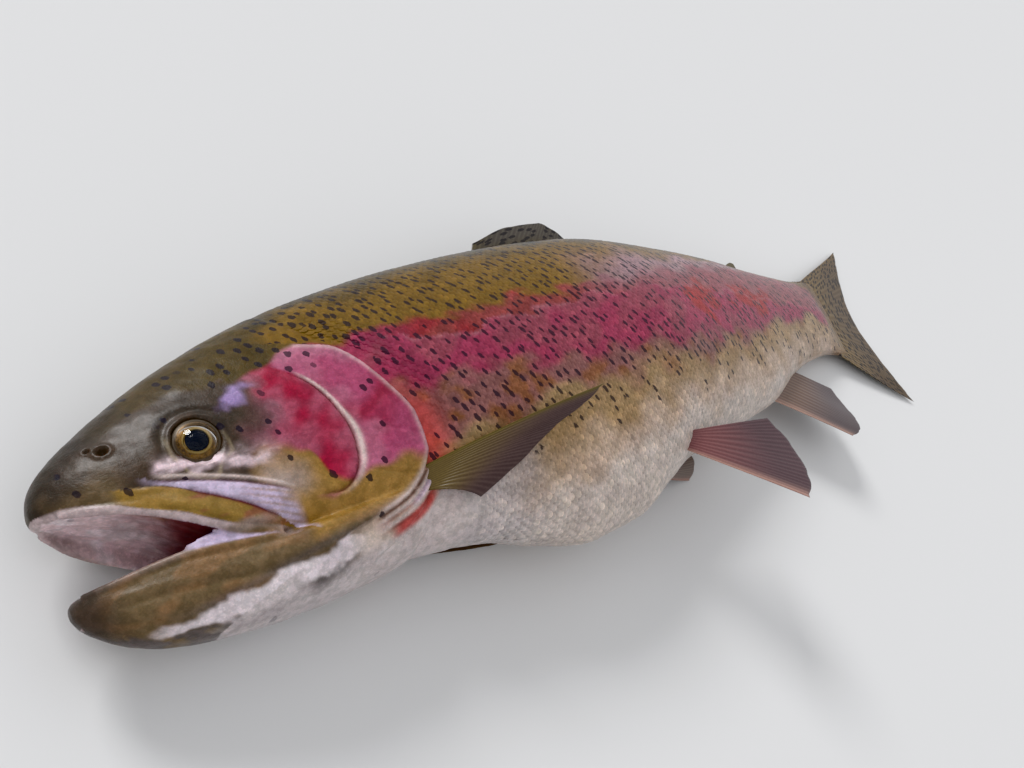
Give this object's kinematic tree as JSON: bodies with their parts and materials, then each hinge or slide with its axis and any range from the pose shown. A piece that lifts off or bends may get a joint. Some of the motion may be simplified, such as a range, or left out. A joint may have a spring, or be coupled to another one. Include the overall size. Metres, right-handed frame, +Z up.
{
  "type": "rainbow trout",
  "caption": "Life-size still model of a big male rainbow trout with a hooked jaw, resting on its right side with the mouth open, the fins spread and the tail curved.",
  "frame": {"origin": "centre of the bounding box at the floor the fish lies on", "axes": "+X runs back along the body from the snout to the tail, +Y points to the fish's back and +Z up out of its left flank"},
  "size_m": [0.8009, 0.2635, 0.1074],
  "materials": {
    "skin": "wet scaled skin, olive-gold back, crimson and rose flank, cream belly, black spots",
    "fin": "wet translucent fin, olive to rose-grey between its rays",
    "eye": "polished, golden-brown iris with a black pupil"
  },
  "bodies": {
    "root": {"head": "skin", "lower_jaw": "skin", "throat": "skin", "gill_cover_left": "skin", "gill_cover_right": "skin", "maxilla_left": "skin", "maxilla_right": "skin", "trunk_front": "skin", "trunk_rear": "skin", "tail_stalk": "skin", "eye_left": "eye", "eye_right": "eye", "dorsal_fin": "fin", "adipose_fin": "fin", "anal_fin": "fin", "tail_fin": "fin", "pectoral_fin_left": "fin", "pectoral_fin_right": "fin", "pelvic_fin_left": "fin", "pelvic_fin_right": "fin"}
  },
  "joints": []
}
